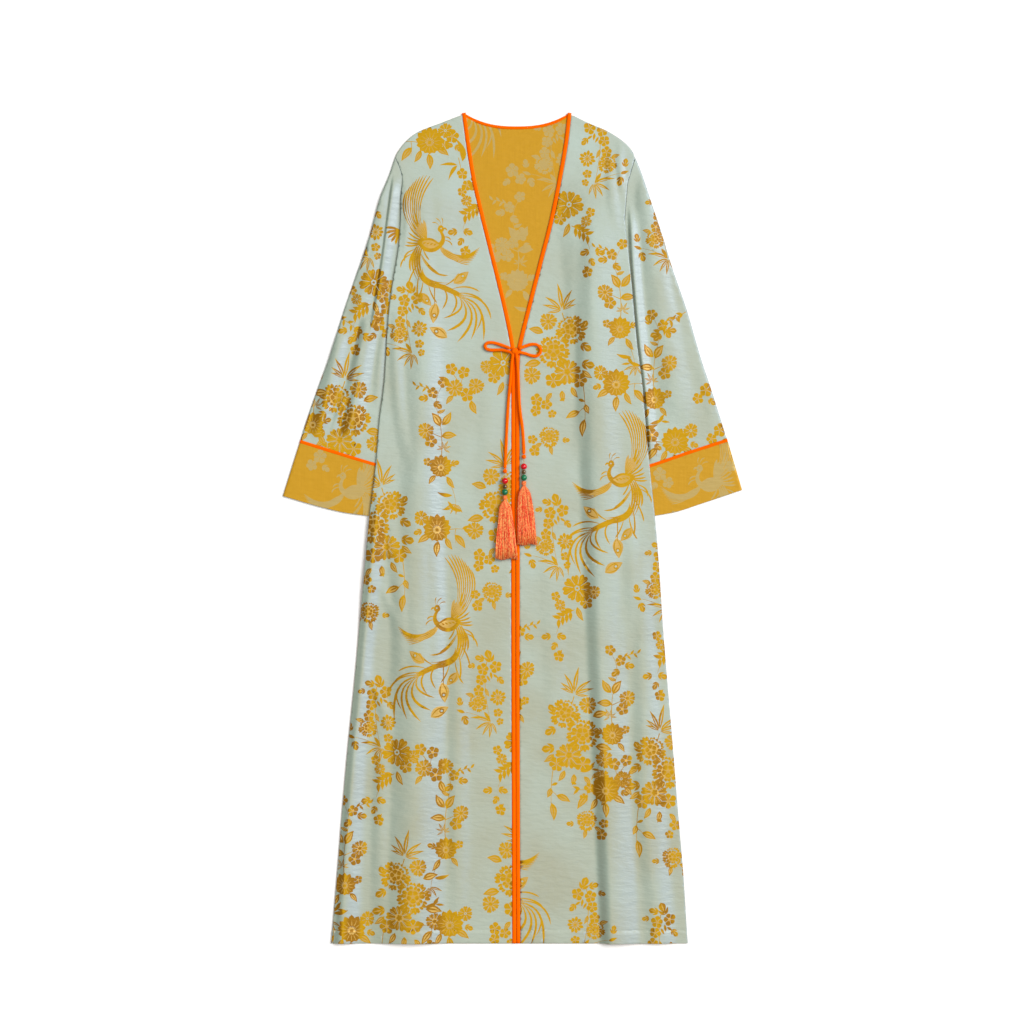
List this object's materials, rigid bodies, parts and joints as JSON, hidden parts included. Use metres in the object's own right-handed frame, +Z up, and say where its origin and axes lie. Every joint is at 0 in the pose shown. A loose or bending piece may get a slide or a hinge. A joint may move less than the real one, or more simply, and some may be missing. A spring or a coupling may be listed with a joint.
{
  "type": "abaya",
  "caption": "Long open-front abaya of floral brocade laid flat: wide sleeves with turned gold cuffs, orange bound edges, and ties in a bow with beads and tassels",
  "frame": {"origin": "middle of the laid-out garment's box, on the surface it lies on", "axes": "+X across to the view's right, +Y from the hem to the neck, +Z up from the surface, front of the garment up"},
  "size_m": [0.7316, 1.323, 0.0161],
  "materials": {
    "celadon_brocade": "satin woven brocade, pale celadon ground with gold flowers and birds, gold on the wrong side",
    "gold_brocade": "wrong side of the same brocade, gold ground with grey-beige figure",
    "orange_satin": "satin bias strip and stuffed satin cord",
    "tassel_thread": "rayon floss",
    "bead_thread": "waxed thread",
    "bead_red": "polished resin",
    "bead_spacer": "polished smoky resin",
    "bead_green": "polished resin"
  },
  "bodies": {
    "root": {"back_panel": "celadon_brocade", "front_left": "celadon_brocade", "front_right": "celadon_brocade", "sleeve_left": "celadon_brocade", "sleeve_right": "celadon_brocade", "cuff_left": "gold_brocade", "cuff_right": "gold_brocade", "cuff_piping_left": "orange_satin", "cuff_piping_right": "orange_satin", "binding_back_neck": "orange_satin", "binding_front_left": "orange_satin", "binding_front_right": "orange_satin", "bow_knot": "orange_satin", "tie_loop_left": "orange_satin", "tie_loop_right": "orange_satin", "tie_tail_left": "orange_satin", "tie_tail_right": "orange_satin", "end_knot_left": "orange_satin", "end_knot_right": "orange_satin", "bead_thread_left": "bead_thread", "bead_thread_right": "bead_thread", "bead_red_left": "bead_red", "bead_red_right": "bead_red", "bead_spacer_left": "bead_spacer", "bead_spacer_right": "bead_spacer", "bead_green_left": "bead_green", "bead_green_right": "bead_green", "tassel_left": "tassel_thread", "tassel_right": "tassel_thread"}
  },
  "joints": []
}
